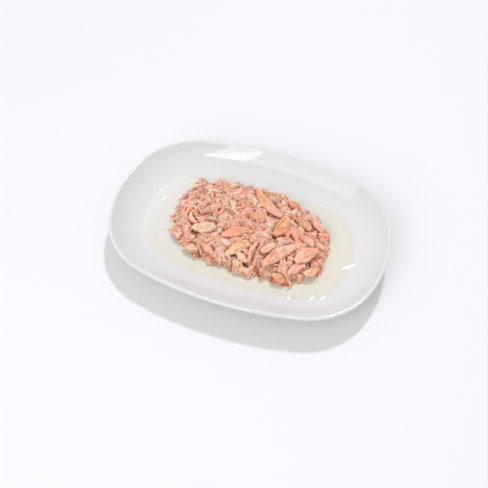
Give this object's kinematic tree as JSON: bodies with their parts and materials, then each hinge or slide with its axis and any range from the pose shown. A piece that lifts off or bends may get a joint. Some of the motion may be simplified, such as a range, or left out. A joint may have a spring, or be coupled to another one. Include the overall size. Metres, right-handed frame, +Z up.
{
  "type": "plated serving of flaked tuna in broth",
  "caption": "Oval-rectangular glazed porcelain dish with a low heap of flaked tuna in a shallow pool of clear broth",
  "frame": {"origin": "on the table under the middle of the dish", "axes": "+X along the dish, +Y across it, +Z up out of the basin"},
  "size_m": [0.22, 0.1534, 0.025],
  "materials": {
    "glazed_porcelain": "clear glossy glaze over white porcelain",
    "clear_broth": "clear, faintly yellow, wet",
    "flaked_tuna": "moist cooked fish, fibrous",
    "large_flakes": "moist cooked fish, fibrous, paler"
  },
  "bodies": {
    "root": {"dish": "glazed_porcelain", "broth": "clear_broth", "flake_heap": "flaked_tuna", "large_flake_01": "large_flakes", "large_flake_02": "large_flakes", "large_flake_03": "large_flakes", "large_flake_04": "large_flakes", "large_flake_05": "large_flakes", "large_flake_06": "large_flakes", "large_flake_07": "large_flakes", "large_flake_08": "large_flakes", "large_flake_09": "large_flakes", "large_flake_10": "large_flakes", "large_flake_11": "large_flakes", "large_flake_12": "large_flakes", "large_flake_13": "large_flakes", "large_flake_14": "large_flakes", "large_flake_15": "large_flakes", "large_flake_16": "large_flakes", "large_flake_17": "large_flakes", "large_flake_18": "large_flakes", "large_flake_19": "large_flakes", "large_flake_20": "large_flakes", "large_flake_21": "large_flakes", "large_flake_22": "large_flakes", "large_flake_23": "large_flakes", "large_flake_24": "large_flakes"}
  },
  "joints": []
}
